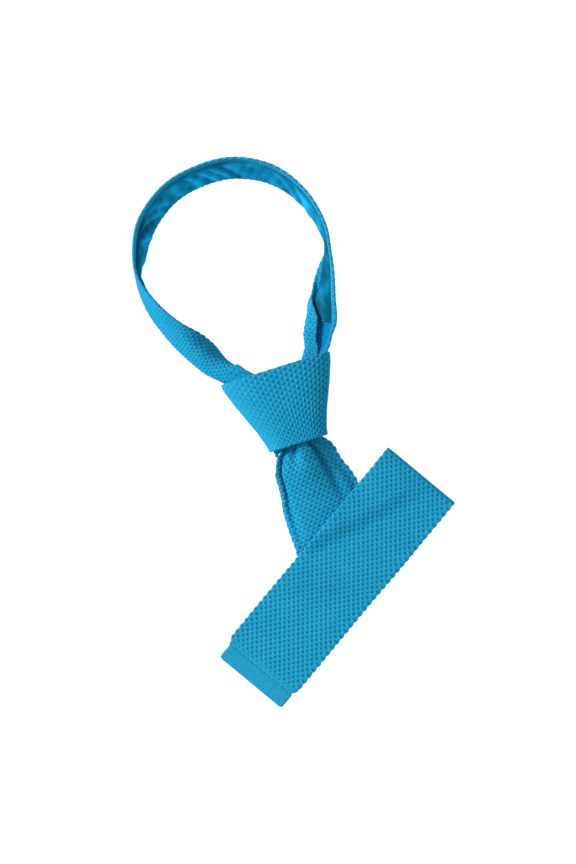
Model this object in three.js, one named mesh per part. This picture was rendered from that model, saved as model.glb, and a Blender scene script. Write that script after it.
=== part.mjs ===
import * as THREE from "three";

// Neck loop, measured on the line where the band stands on the surface
const LOOP_WIDTH = 127;
const LOOP_HEIGHT = 128;
const BAND_WIDTH = 38;
// Fabrics
const KNIT = 2.4;
const LINING = 1.0;
const GAP = 0.3;
const TURN_GAP = 0.6;
const LAYER_GAP = 0.6;
const LINING_TOP_SHARE = 0.87;
const LINING_FOOT_SHARE = 0.1;
// Knot, a tapered sleeve
const KNOT_TOP_WIDTH = 75.5;
const KNOT_FOOT_WIDTH = 41;
const KNOT_LENGTH = 52;
const KNOT_TOP_DEPTH = 28;
const KNOT_FOOT_DEPTH = 23;
const KNOT_TILT = 17.5;
// Wide end: three falls between two folds, then the hem
const BLADE_WIDTH = 56;
const FIRST_FALL = 82.8;
const FIRST_TILT = 26.8;
const FIRST_FOLD_TILT = 33.2;
const SECOND_FALL = 72.8;
const LAST_FALL = 179.5;
const LAST_FOLD_RADIUS = 2.9;
const HEM_WIDTH = 53.6;
const HEM_LENGTH = 11;
const HEM_RIB_PITCH = 1.35;
const HEM_RIB_HEIGHT = 0.35;
const CORNER_RADIUS = 2.0;
// Narrow end, hidden behind the wide end
const TAIL_WIDTH = 30;
const TAIL_LENGTH = 56;
const ROOT_INSIDE = 14;

// The line of the band's middle from inside the knot, round the neck and back into the knot.
// across, up: shares of the loop's width and height from the middle of the knot's top edge.
// over, down: shares of the knot's top width and length from the same point, along the knot.
// lean: degrees outward; low, high: degrees that the cloth turns at its lower and upper crease;
// crease, brim: shares of the width where those lie; wide, lift: shares of the band's width,
// less than 1 where the knot draws the cloth in.
const BAND = [
  {
    across: 0, up: 0, over: -0.195, down: 0.27,
    lean: -90, low: 96, crease: 0.33, high: 96, brim: 0.67, wide: 0.76, lift: 0.182,
  },
  {
    across: 0, up: 0, over: -0.256, down: 0.02,
    lean: -88, low: 94, crease: 0.33, high: 94, brim: 0.67, wide: 0.76, lift: 0.182,
  },
  {
    across: 0, up: 0, over: -0.432, down: -0.14,
    lean: -78, low: 82, crease: 0.31, high: 94, brim: 0.67, wide: 0.76, lift: 0.12,
  },
  {
    across: -0.398, up: 0.05, over: 0, down: 0,
    lean: -34, low: 36, crease: 0.25, high: 76, brim: 0.69, wide: 0.88, lift: 0,
  },
  {
    across: -0.539, up: 0.181, over: 0, down: 0,
    lean: -20, low: 14, crease: 0.25, high: 18, brim: 0.75, wide: 1, lift: 0,
  },
  {
    across: -0.653, up: 0.324, over: 0, down: 0,
    lean: -12, low: 6, crease: 0.25, high: 6, brim: 0.75, wide: 1, lift: 0,
  },
  {
    across: -0.716, up: 0.46, over: 0, down: 0,
    lean: -3, low: 4, crease: 0.25, high: 4, brim: 0.75, wide: 1, lift: 0,
  },
  {
    across: -0.703, up: 0.595, over: 0, down: 0,
    lean: 6, low: 4, crease: 0.25, high: 4, brim: 0.75, wide: 1, lift: 0,
  },
  {
    across: -0.662, up: 0.742, over: 0, down: 0,
    lean: 11, low: 5, crease: 0.25, high: 5, brim: 0.75, wide: 1, lift: 0,
  },
  {
    across: -0.555, up: 0.893, over: 0, down: 0,
    lean: 12, low: 6, crease: 0.25, high: 6, brim: 0.75, wide: 1, lift: 0,
  },
  {
    across: -0.42, up: 0.978, over: 0, down: 0,
    lean: 11, low: 6, crease: 0.25, high: 6, brim: 0.75, wide: 1, lift: 0,
  },
  {
    across: -0.226, up: 1.029, over: 0, down: 0,
    lean: 11, low: 6, crease: 0.25, high: 6, brim: 0.75, wide: 1, lift: 0,
  },
  {
    across: -0.018, up: 0.998, over: 0, down: 0,
    lean: 9.5, low: 6, crease: 0.25, high: 6, brim: 0.75, wide: 1, lift: 0,
  },
  {
    across: 0.146, up: 0.885, over: 0, down: 0,
    lean: 8, low: 5, crease: 0.25, high: 5, brim: 0.75, wide: 1, lift: 0,
  },
  {
    across: 0.249, up: 0.729, over: 0, down: 0,
    lean: 4, low: 4, crease: 0.25, high: 4, brim: 0.75, wide: 1, lift: 0,
  },
  {
    across: 0.276, up: 0.64, over: 0, down: 0,
    lean: 1, low: 4, crease: 0.2, high: 4, brim: 0.75, wide: 1, lift: 0,
  },
  {
    across: 0.27, up: 0.52, over: 0, down: 0,
    lean: 11, low: 5, crease: 0.1, high: 5, brim: 0.75, wide: 1, lift: 0,
  },
  {
    across: 0.257, up: 0.38, over: 0, down: 0,
    lean: 20, low: 60, crease: -0.2, high: 6, brim: 0.75, wide: 1, lift: 0,
  },
  {
    across: 0.247, up: 0.25, over: 0, down: 0,
    lean: 27, low: 150, crease: -0.12, high: 10, brim: 0.75, wide: 1, lift: 0,
  },
  {
    across: 0.235, up: 0.17, over: 0, down: 0,
    lean: 40, low: 175, crease: 0.14, high: 22, brim: 0.75, wide: 0.94, lift: 0,
  },
  {
    across: 0, up: 0, over: 0.346, down: -0.1,
    lean: 54, low: 190, crease: 0.32, high: 62, brim: 0.68, wide: 0.83, lift: 0.08,
  },
  {
    across: 0, up: 0, over: 0.29, down: 0.06,
    lean: 66, low: 196, crease: 0.36, high: 88, brim: 0.65, wide: 0.77, lift: 0.172,
  },
  {
    across: 0, up: 0, over: 0.27, down: 0.27,
    lean: 68, low: 196, crease: 0.38, high: 88, brim: 0.64, wide: 0.76, lift: 0.182,
  },
];
// Length of cloth that one crease of the band takes, share of its width
const CREASE_SHARE = 0.3;
const BAND_STEPS = 56;
const BAND_COLUMNS = 12;
// First and last of those steps that the lining covers
const LINING_FIRST = 10;
const LINING_LAST = 45;

// How the knot tapers, share of its length against share of the difference in width and depth
const KNOT_TAPER = [
  { at: 0, wide: 1 },
  { at: 0.25, wide: 0.79 },
  { at: 0.5, wide: 0.49 },
  { at: 0.75, wide: 0.19 },
  { at: 1, wide: 0 },
];
const KNOT_SIDES = 45;
const KNOT_STEPS = 7;
const ROUND_TOP = 2.6;
const ROUND_FOOT = 5;

// Inner turn: edges against the angle round the sleeve, shares of the knot's length
const UNDER_WRAP = [
  { angle: 112, top: 0.02, foot: 0.8 },
  { angle: 120, top: -0.03, foot: 0.82 },
  { angle: 130, top: -0.14, foot: 0.85 },
  { angle: 140, top: -0.13, foot: 0.88 },
  { angle: 152, top: 0.12, foot: 0.98 },
  { angle: 172, top: 0.2, foot: 1.1 },
  { angle: 192, top: 0.18, foot: 1.08 },
  { angle: 215, top: 0.08, foot: 0.96 },
  { angle: 270, top: 0.04, foot: 0.92 },
  { angle: 320, top: 0.06, foot: 0.9 },
];

// First fall of the wide end. at: share of the fall from the knot; shift: share of the blade width.
// stack, side: layers of cloth under the middle and under the sides.
// dome: crown of the middle; cuff: turned up edges; left, mid, right: depths of the grooves,
// all shares of the room for humps in the knot's foot; hold: how far the knot draws the cloth in.
const FIRST = [
  {
    at: -0.17, shift: 0.1, stack: 3, side: 3, dome: 0.75, cuff: 0.45,
    left: 0, mid: 0.55, right: 0.4, hold: 1,
  },
  {
    at: 0, shift: 0.1, stack: 3, side: 2.9, dome: 0.85, cuff: 0.45,
    left: 0.05, mid: 0.55, right: 0.5, hold: 1,
  },
  {
    at: 0.08, shift: 0.105, stack: 2.6, side: 2.2, dome: 0.92, cuff: 0.3,
    left: 0.15, mid: 0.3, right: 0.5, hold: 0.72,
  },
  {
    at: 0.18, shift: 0.07, stack: 1.7, side: 0.9, dome: 0.95, cuff: 0.15,
    left: 0.28, mid: 0.06, right: 0.45, hold: 0.1,
  },
  {
    at: 0.34, shift: 0.05, stack: 1.1, side: 0.1, dome: 0.62, cuff: 0.06,
    left: 0.2, mid: 0, right: 0.28, hold: 0,
  },
  {
    at: 0.5, shift: 0.03, stack: 1.05, side: 0, dome: 0.28, cuff: 0,
    left: 0.1, mid: 0, right: 0.12, hold: 0,
  },
  {
    at: 0.7, shift: 0.01, stack: 1.05, side: 0, dome: 0.06, cuff: 0,
    left: 0.02, mid: 0, right: 0.02, hold: 0,
  },
  {
    at: 0.86, shift: 0, stack: 0, side: 0, dome: 0, cuff: 0,
    left: 0, mid: 0, right: 0, hold: 0,
  },
  {
    at: 1.4, shift: 0, stack: 0, side: 0, dome: 0, cuff: 0,
    left: 0, mid: 0, right: 0, hold: 0,
  },
];
// Where each groove runs on the wide end, shares of its width, at the knot and at the strip
const GROOVES = {
  left: { from: -0.4, to: -0.37, wide: 0.1 },
  mid: { from: -0.12, to: -0.1, wide: 0.13 },
  right: { from: 0.22, to: 0.3, wide: 0.12 },
};
const BLADE_COLUMNS = 18;

const radians = (degrees) => (degrees * Math.PI) / 180;
const clamp = (x, low, high) => Math.min(high, Math.max(low, x));
const ease = (x) => {
  const s = clamp(x, 0, 1);
  return s * s * (3 - 2 * s);
};
const bell = (x) => (Math.abs(x) < 1 ? 0.5 + 0.5 * Math.cos(Math.PI * x) : 0);
const mix = (a, b, s) => a + (b - a) * s;

// Smooth reading of a table column without overshoot; rows are placed by the key column
function read(table, column, key, where) {
  const last = table.length - 1;
  const place = (i) => (key === null ? i : table[i][key]);
  const x = clamp(where, place(0), place(last));
  let i = 0;
  while (i < last - 1 && x > place(i + 1)) {
    i += 1;
  }
  const slope = (k) => (table[k + 1][column] - table[k][column]) / (place(k + 1) - place(k));
  const tangent = (k) => {
    if (k === 0 || k === last) {
      return 0;
    }
    const before = slope(k - 1);
    const after = slope(k);
    return before * after > 0 ? (2 * before * after) / (before + after) : 0;
  };
  const span = place(i + 1) - place(i);
  const s = (x - place(i)) / span;
  const s2 = s * s;
  const s3 = s2 * s;
  return (2 * s3 - 3 * s2 + 1) * table[i][column]
    + (s3 - 2 * s2 + s) * span * tangent(i)
    + (3 * s2 - 2 * s3) * table[i + 1][column]
    + (s3 - s2) * span * tangent(i + 1);
}

// A closed solid between a front and a back sheet of points; ring closes the second direction
function slab(rows, columns, point, ring = false) {
  const positions = [];
  const index = [];
  for (const side of [1, -1]) {
    for (let i = 0; i < rows; i += 1) {
      for (let j = 0; j < columns; j += 1) {
        positions.push(...point(i, j, side));
      }
    }
  }
  const id = (side, i, j) => (side > 0 ? 0 : rows * columns) + i * columns + (j % columns);
  const quad = (a, b, c, d) => index.push(a, b, c, a, c, d);
  const spans = ring ? columns : columns - 1;
  for (let i = 0; i < rows - 1; i += 1) {
    for (let j = 0; j < spans; j += 1) {
      quad(id(1, i, j), id(1, i + 1, j), id(1, i + 1, j + 1), id(1, i, j + 1));
      quad(id(-1, i, j), id(-1, i, j + 1), id(-1, i + 1, j + 1), id(-1, i + 1, j));
    }
  }
  for (let j = 0; j < spans; j += 1) {
    quad(id(1, 0, j), id(1, 0, j + 1), id(-1, 0, j + 1), id(-1, 0, j));
    quad(id(1, rows - 1, j + 1), id(1, rows - 1, j), id(-1, rows - 1, j), id(-1, rows - 1, j + 1));
  }
  if (!ring) {
    for (let i = 0; i < rows - 1; i += 1) {
      quad(id(1, i + 1, 0), id(1, i, 0), id(-1, i, 0), id(-1, i + 1, 0));
      quad(id(1, i, spans), id(1, i + 1, spans), id(-1, i + 1, spans), id(-1, i, spans));
    }
  }
  const geometry = new THREE.BufferGeometry();
  geometry.setAttribute("position", new THREE.Float32BufferAttribute(positions, 3));
  geometry.setIndex(volume(positions, index) < 0 ? flipped(index) : index);
  geometry.computeVertexNormals();
  return geometry;
}

function volume(p, index) {
  let sum = 0;
  for (let k = 0; k < index.length; k += 3) {
    const [a, b, c] = [index[k] * 3, index[k + 1] * 3, index[k + 2] * 3];
    sum += p[a] * (p[b + 1] * p[c + 2] - p[b + 2] * p[c + 1])
      - p[a + 1] * (p[b] * p[c + 2] - p[b + 2] * p[c])
      + p[a + 2] * (p[b] * p[c + 1] - p[b + 1] * p[c]);
  }
  return sum;
}

function flipped(index) {
  const out = [];
  for (let k = 0; k < index.length; k += 3) {
    out.push(index[k], index[k + 2], index[k + 1]);
  }
  return out;
}

// Directions in the plane of the surface: down is along the knot, over is across it
const knotDown = [Math.sin(radians(KNOT_TILT)), -Math.cos(radians(KNOT_TILT))];
const knotOver = [Math.cos(radians(KNOT_TILT)), Math.sin(radians(KNOT_TILT))];
const firstDown = [Math.sin(radians(FIRST_TILT)), -Math.cos(radians(FIRST_TILT))];
const firstOver = [Math.cos(radians(FIRST_TILT)), Math.sin(radians(FIRST_TILT))];
const knotPlace = (over, down) => [
  over * knotOver[0] + down * knotDown[0],
  over * knotOver[1] + down * knotDown[1],
];

// Middle line of the neck band
const bandPath = new THREE.CatmullRomCurve3(
  BAND.map((row) => {
    const [x, y] = knotPlace(row.over * KNOT_TOP_WIDTH, row.down * KNOT_LENGTH);
    return new THREE.Vector3(row.across * LOOP_WIDTH + x, row.up * LOOP_HEIGHT + y, 0);
  }),
  false,
  "centripetal",
);

const sections = new Map();

// Section of the band at a place in the table: middle point, outward direction and its curve
function bandSection(place) {
  if (sections.has(place)) {
    return sections.get(place);
  }
  const last = BAND.length - 1;
  const here = bandPath.getPoint(clamp(place / last, 0, 1));
  const ahead = bandPath.getPoint(clamp((place + 0.02) / last, 0, 1));
  const behind = bandPath.getPoint(clamp((place - 0.02) / last, 0, 1));
  const along = ahead.sub(behind).normalize();
  const lean = radians(read(BAND, "lean", null, place));
  const low = radians(read(BAND, "low", null, place));
  const high = radians(read(BAND, "high", null, place));
  const crease = read(BAND, "crease", null, place);
  const brim = read(BAND, "brim", null, place);
  const lift = read(BAND, "lift", null, place) * BAND_WIDTH;
  const half = (read(BAND, "wide", null, place) * BAND_WIDTH) / 2;
  const angle = (share) => {
    const lower = ease((crease - share) / CREASE_SHARE + 0.5);
    const upper = ease((share - brim) / CREASE_SHARE + 0.5);
    return lean + low * lower - high * upper;
  };
  const steps = 48;
  const out = new Array(2 * steps + 1);
  const up = new Array(2 * steps + 1);
  out[steps] = 0;
  up[steps] = 0;
  for (let k = 1; k <= steps; k += 1) {
    const s = (k - 0.5) / steps / 2;
    const d = half / steps;
    out[steps + k] = out[steps + k - 1] + Math.sin(angle(0.5 + s)) * d;
    up[steps + k] = up[steps + k - 1] + Math.cos(angle(0.5 + s)) * d;
    out[steps - k] = out[steps - k + 1] - Math.sin(angle(0.5 - s)) * d;
    up[steps - k] = up[steps - k + 1] - Math.cos(angle(0.5 - s)) * d;
  }
  let lowest = Infinity;
  for (let k = -steps; k <= steps; k += 1) {
    const face = Math.abs(Math.sin(angle(0.5 + k / steps / 2))) * (KNIT / 2);
    lowest = Math.min(lowest, up[steps + k] - face);
  }
  const section = { here, along, angle, out, up, steps, base: lift - lowest };
  sections.set(place, section);
  return section;
}

// A point of the band: share of its width from the foot, off from its middle towards its front
function bandPoint(place, share, off) {
  const s = bandSection(place);
  const k = clamp(share * 2 * s.steps, 0, 2 * s.steps);
  const i = Math.min(2 * s.steps - 1, Math.floor(k));
  const f = k - i;
  const turn = s.angle(share);
  const out = mix(s.out[i], s.out[i + 1], f) + off * Math.cos(turn);
  const up = mix(s.up[i], s.up[i + 1], f) - off * Math.sin(turn) + s.base;
  return [s.here.x - s.along.y * out, s.here.y + s.along.x * out, up];
}

// A strip of the band between two of its steps and two shares of its width
function bandStrip(first, last, foot, top, columns, near, far) {
  const length = BAND.length - 1;
  return slab(last - first + 1, columns, (i, j, side) => {
    const place = (length * (first + i)) / (BAND_STEPS - 1);
    return bandPoint(place, mix(foot, top, j / (columns - 1)), side > 0 ? near : far);
  });
}

// Sleeve section at a share of the knot's length, with a wall set in from the outer face
function sleevePoint(angle, share, inset) {
  const wide = read(KNOT_TAPER, "wide", "at", share);
  const half = mix(KNOT_FOOT_WIDTH, KNOT_TOP_WIDTH, wide) / 2 - inset;
  const depth = mix(KNOT_FOOT_DEPTH, KNOT_TOP_DEPTH, wide) / 2;
  const c = Math.cos(radians(angle));
  const s = Math.sin(radians(angle));
  const power = s > 0 ? ROUND_TOP : ROUND_FOOT;
  const reach = (Math.abs(c) ** power + Math.abs(s) ** power) ** (-1 / power);
  const [x, y] = knotPlace(half * c * reach, share * KNOT_LENGTH);
  return [x, y, depth + (depth - inset) * s * reach];
}

function sleeve() {
  return slab(KNOT_STEPS, KNOT_SIDES, (i, j, side) => {
    const angle = (360 * j) / KNOT_SIDES;
    return sleevePoint(angle, i / (KNOT_STEPS - 1), side > 0 ? 0 : KNIT);
  }, true);
}

function innerTurn() {
  const columns = 27;
  const first = UNDER_WRAP[0].angle;
  const last = UNDER_WRAP[UNDER_WRAP.length - 1].angle;
  return slab(KNOT_STEPS + 2, columns, (i, j, side) => {
    const angle = mix(first, last, j / (columns - 1));
    const top = read(UNDER_WRAP, "top", "angle", angle);
    const foot = read(UNDER_WRAP, "foot", "angle", angle);
    const share = mix(top, foot, i / (KNOT_STEPS + 1));
    return sleevePoint(angle, share, side > 0 ? KNIT + TURN_GAP : 2 * KNIT + TURN_GAP);
  });
}

// Height of one more layer of cloth in a pile
const LAYER_STEP = KNIT + LAYER_GAP;
// Room for the wide end's humps under the knot's front wall, over the three layers behind it
const ROOM = KNOT_FOOT_DEPTH - 2 * KNIT - GAP - 3 * LAYER_STEP;
// Clear width inside both turns at the knot's foot
const CLEAR = KNOT_FOOT_WIDTH - 2 * (2 * KNIT + TURN_GAP + GAP);
const FIRST_RADIUS = LAYER_STEP / 2;
const foldSlope = Math.tan(radians(FIRST_FOLD_TILT));
const foldSin = Math.sin(radians(FIRST_FOLD_TILT));
const foldCos = Math.cos(radians(FIRST_FOLD_TILT));
const firstTurn = Math.PI * FIRST_RADIUS;
const lastTurn = Math.PI * LAST_FOLD_RADIUS;
// Cloth length at the start of the last fold, and at the end of the hem
const lastFoldAt = FIRST_FALL + firstTurn / foldCos + SECOND_FALL - LAST_FOLD_RADIUS - KNIT / 2;
const clothEnd = lastFoldAt + lastTurn + LAST_FALL - LAST_FOLD_RADIUS - KNIT / 2;

// Middle of the first fold, seen from the middle of the knot's top edge
const foldPlace = (() => {
  const [x, y] = knotPlace(0, KNOT_LENGTH);
  const shift = FIRST[0].shift * BLADE_WIDTH;
  return [
    x + FIRST_FALL * firstDown[0] - shift * firstOver[0],
    y + FIRST_FALL * firstDown[1] - shift * firstOver[1],
  ];
})();

// Sideways place of the cloth's middle on the first fall, following the knot's line inside it
function firstMiddle(along) {
  const shift = read(FIRST, "shift", "at", along / FIRST_FALL) * BLADE_WIDTH;
  return shift + Math.min(along, 0) * Math.tan(radians(KNOT_TILT - FIRST_TILT));
}

// Height of the first fall's middle surface at a place along it and across its cloth
function firstHeight(along, v) {
  const at = along / FIRST_FALL;
  const s = v / BLADE_WIDTH;
  const get = (column) => read(FIRST, column, "at", at);
  const sides = ease((Math.abs(v) - TAIL_WIDTH / 2 - KNIT) / (BLADE_WIDTH * 0.18));
  let z = KNIT / 2 + LAYER_STEP * mix(get("stack"), get("side"), sides);
  z += ROOM * get("dome") * Math.cos(Math.PI * clamp(s, -0.5, 0.5)) ** 2;
  z += ROOM * get("cuff") * ease((Math.abs(s) - 0.33) / 0.17) ** 2;
  for (const name of Object.keys(GROOVES)) {
    const groove = GROOVES[name];
    const middle = mix(groove.from, groove.to, clamp(at * 1.6, 0, 1));
    z -= ROOM * get(name) * bell((s - middle) / groove.wide);
  }
  return z;
}

// Reach across the surface of a width of cloth, shortened where the cloth rises and falls
function reachOf(along, v) {
  const steps = 28;
  let reach = 0;
  for (let k = 0; k < steps; k += 1) {
    const a = (v * k) / steps;
    const b = (v * (k + 1)) / steps;
    const rise = firstHeight(along, b) - firstHeight(along, a);
    const run = b - a;
    reach += Math.sign(v) * Math.sqrt(Math.max(run * run - rise * rise, 0.04 * run * run));
  }
  return reach;
}

const fullReach = new Map();

// Place across the first fall; where the knot holds the cloth it is drawn in to the clear width
function firstOverAt(along, v) {
  if (!fullReach.has(along)) {
    const left = reachOf(along, -BLADE_WIDTH / 2);
    const right = reachOf(along, BLADE_WIDTH / 2);
    fullReach.set(along, right - left);
  }
  const hold = read(FIRST, "hold", "at", along / FIRST_FALL);
  const drawn = (CLEAR - KNIT - GAP) / fullReach.get(along);
  return firstMiddle(along) + reachOf(along, v) * mix(1, Math.min(drawn, 1), hold);
}

// Top of the first fall, with the gap over it, as the layers laid on it feel it
function restHeight(along, over) {
  const half = BLADE_WIDTH / 2;
  const side = over - firstMiddle(along);
  const v = clamp(side, -half, half);
  const beyond = ease(1 - (Math.abs(side) - half - 1.5) / (BLADE_WIDTH * 0.45));
  return (firstHeight(along, v) + KNIT / 2 + LAYER_GAP) * beyond;
}

// A point of the wide end: u along the cloth from the knot's foot, v across, off from its middle
function bladePoint(u, v, off) {
  if (u <= FIRST_FALL + v * foldSlope) {
    const rise = firstHeight(u + 0.5, v) - firstHeight(u - 0.5, v);
    const lift = firstHeight(u, v + 0.2) - firstHeight(u, v - 0.2);
    const run = firstOverAt(u, v + 0.2) - firstOverAt(u, v - 0.2);
    const lean = Math.atan(rise);
    const tilt = Math.atan2(lift, run);
    return onSurface(
      u - off * Math.sin(lean) * Math.cos(tilt),
      firstOverAt(u, v) - off * Math.sin(tilt),
      firstHeight(u, v) + off * Math.cos(tilt) * Math.cos(lean),
    );
  }
  // Laid flat, the cloth past the last fold lies under the rest
  const past = u - lastFoldAt;
  let flat = u;
  let height = off;
  if (past >= lastTurn) {
    flat = lastFoldAt - (past - lastTurn);
    height = -2 * LAST_FOLD_RADIUS - off;
  } else if (past > 0) {
    const turn = past / LAST_FOLD_RADIUS;
    flat = lastFoldAt + (LAST_FOLD_RADIUS + off) * Math.sin(turn);
    height = (LAST_FOLD_RADIUS + off) * Math.cos(turn) - LAST_FOLD_RADIUS;
  }
  // Then the first fold turns all of it over its slanting line
  const line = v * foldCos + (flat - FIRST_FALL) * foldSin;
  const beyond = (flat - FIRST_FALL) * foldCos - v * foldSin;
  let reach = firstTurn - beyond;
  let z = 2 * FIRST_RADIUS - height;
  if (past <= 0 && beyond < firstTurn) {
    const turn = beyond / FIRST_RADIUS;
    reach = (FIRST_RADIUS - height) * Math.sin(turn);
    z = FIRST_RADIUS - (FIRST_RADIUS - height) * Math.cos(turn);
  }
  const along = FIRST_FALL + line * foldSin + reach * foldCos;
  const over = line * foldCos - reach * foldSin;
  const rest = restHeight(along, over);
  if (past > 0 || beyond >= firstTurn) {
    z += rest - 2 * FIRST_RADIUS;
  }
  if (past > lastTurn) {
    const spare = 2 * LAST_FOLD_RADIUS - LAYER_STEP;
    z -= spare * ease((past - lastTurn - 4) / (BLADE_WIDTH * 0.55));
    const clear = reach - FIRST_RADIUS - KNIT / 2 - 1;
    z -= (rest + LAYER_STEP) * ease(clear / (BLADE_WIDTH * 0.5));
  }
  return onSurface(along, over, z + KNIT / 2);
}

function onSurface(along, over, z) {
  return [
    foldPlace[0] + (along - FIRST_FALL) * firstDown[0] + over * firstOver[0],
    foldPlace[1] + (along - FIRST_FALL) * firstDown[1] + over * firstOver[1],
    z,
  ];
}

// Rows across the cloth, each a place along it and a slant; they turn with the first fold
function bladeRows() {
  const rows = [];
  const run = (from, to, count, slantFrom, slantTo, bend) => {
    for (let k = 0; k < count; k += 1) {
      const s = k / count;
      rows.push({ u: mix(from, to, s), slant: mix(slantFrom, slantTo, bend(s)) });
    }
  };
  const afterFirst = FIRST_FALL + firstTurn / foldCos;
  const start = lastFoldAt + lastTurn;
  const end = clothEnd - HEM_LENGTH - GAP;
  run(-ROOT_INSIDE, FIRST_FALL, 16, 0, foldSlope, (s) => ease((s - 0.25) / 0.75));
  run(FIRST_FALL, afterFirst, 5, foldSlope, foldSlope, (s) => s);
  run(afterFirst, lastFoldAt, 9, foldSlope, 0, ease);
  run(lastFoldAt, start, 7, 0, 0, (s) => s);
  run(start, end, 14, 0, 0, (s) => s);
  rows.push({ u: end, slant: 0 });
  return rows;
}

function blade() {
  const rows = bladeRows();
  return slab(rows.length, BLADE_COLUMNS, (i, j, side) => {
    const v = mix(-0.5, 0.5, j / (BLADE_COLUMNS - 1)) * BLADE_WIDTH;
    return bladePoint(rows[i].u + rows[i].slant * v, v, (side * KNIT) / 2);
  });
}

// Ribbed hem with rounded corners at the tip
function hem() {
  const ribs = Math.max(8, Math.round(HEM_WIDTH / HEM_RIB_PITCH));
  const columns = 2 * ribs + 1;
  const rows = [0, 0.12, 0.84, 0.95, 1];
  return slab(rows.length, columns, (i, j, side) => {
    const fromEnd = HEM_LENGTH * (1 - rows[i]);
    const inset = Math.max(0, CORNER_RADIUS - fromEnd);
    const cut = CORNER_RADIUS - Math.sqrt(CORNER_RADIUS ** 2 - inset ** 2);
    const v = mix(-1, 1, j / (columns - 1)) * (HEM_WIDTH / 2 - cut) + (BLADE_WIDTH - HEM_WIDTH) / 4;
    const crest = j % 2 === 1 && i > 0 && i < rows.length - 1 ? HEM_RIB_HEIGHT : 0;
    const off = side > 0 ? KNIT / 2 + crest : -KNIT / 2;
    return bladePoint(clothEnd - fromEnd, v, off);
  });
}

// Narrow end, from inside the knot to under the wide end
function tail() {
  const rows = 15;
  const columns = 7;
  return slab(rows, columns, (i, j, side) => {
    const along = mix(-ROOT_INSIDE, TAIL_LENGTH, i / (rows - 1));
    const hold = 1 - ease((along - 1) / (TAIL_LENGTH * 0.3));
    const wide = mix(TAIL_WIDTH, Math.min(TAIL_WIDTH, CLEAR * 0.74), hold);
    const over = firstMiddle(along) + mix(-0.5, 0.5, j / (columns - 1)) * wide;
    const drop = 1 - ease((along - 1) / (TAIL_LENGTH * 0.36));
    const z = KNIT / 2 + 2 * LAYER_STEP * drop + (side * KNIT) / 2;
    return onSurface(along, over, z);
  });
}

const knitCloth = new THREE.MeshStandardMaterial({ color: 0x1d90bd, roughness: 0.85, metalness: 0 });
const knitRib = new THREE.MeshStandardMaterial({ color: 0x1c8ab8, roughness: 0.85, metalness: 0 });
const satin = new THREE.MeshStandardMaterial({ color: 0x0e7faf, roughness: 0.45, metalness: 0 });

const pieces = {
  neck_band: [
    bandStrip(0, BAND_STEPS - 1, 0, 1, BAND_COLUMNS, KNIT / 2, -KNIT / 2),
    knitCloth,
  ],
  neck_lining: [
    bandStrip(
      LINING_FIRST,
      LINING_LAST,
      LINING_FOOT_SHARE,
      LINING_TOP_SHARE,
      7,
      -KNIT / 2 - GAP,
      -KNIT / 2 - GAP - LINING,
    ),
    satin,
  ],
  knot_wrap: [sleeve(), knitCloth],
  knot_under_wrap: [innerTurn(), knitCloth],
  front_blade: [blade(), knitCloth],
  tip_hem: [hem(), knitRib],
  tail: [tail(), knitCloth],
};

// The middle of the whole part's footprint is the origin, its lowest point the ground
const whole = new THREE.Box3();
for (const [geometry] of Object.values(pieces)) {
  geometry.computeBoundingBox();
  whole.union(geometry.boundingBox);
}
const middle = whole.getCenter(new THREE.Vector3());
const tie = new THREE.Group();
tie.name = "knit_tie";
for (const [name, [geometry, material]] of Object.entries(pieces)) {
  geometry.translate(-middle.x, -middle.y, -whole.min.z);
  const mesh = new THREE.Mesh(geometry, material);
  mesh.name = name;
  tie.add(mesh);
}

export default tie;
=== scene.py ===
"""A square-ended knit tie, tied and laid flat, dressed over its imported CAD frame."""

import math

import bpy
import numpy as np
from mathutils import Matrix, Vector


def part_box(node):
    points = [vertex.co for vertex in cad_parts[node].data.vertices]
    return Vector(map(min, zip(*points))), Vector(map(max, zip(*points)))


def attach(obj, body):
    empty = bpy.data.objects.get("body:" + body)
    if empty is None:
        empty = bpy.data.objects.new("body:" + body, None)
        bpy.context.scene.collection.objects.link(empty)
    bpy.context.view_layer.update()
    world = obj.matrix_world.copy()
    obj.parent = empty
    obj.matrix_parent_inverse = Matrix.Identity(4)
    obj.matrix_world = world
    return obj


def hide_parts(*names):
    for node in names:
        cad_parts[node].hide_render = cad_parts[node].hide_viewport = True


bl_info = {
    "name": "Knit tie",
    "version": (1, 0, 0),
    "blender": (4, 5, 0),
    "location": "3D View > Sidebar > Tie",
    "description": "Knits the pieces of a tied necktie over its CAD frame",
    "category": "Object",
}

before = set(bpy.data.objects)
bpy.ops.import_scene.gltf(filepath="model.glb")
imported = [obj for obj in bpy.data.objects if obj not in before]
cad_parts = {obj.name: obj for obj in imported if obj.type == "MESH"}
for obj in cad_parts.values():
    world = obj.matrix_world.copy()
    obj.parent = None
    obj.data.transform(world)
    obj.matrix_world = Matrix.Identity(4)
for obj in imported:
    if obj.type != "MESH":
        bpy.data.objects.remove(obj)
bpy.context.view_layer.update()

MM = 0.001

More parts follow.
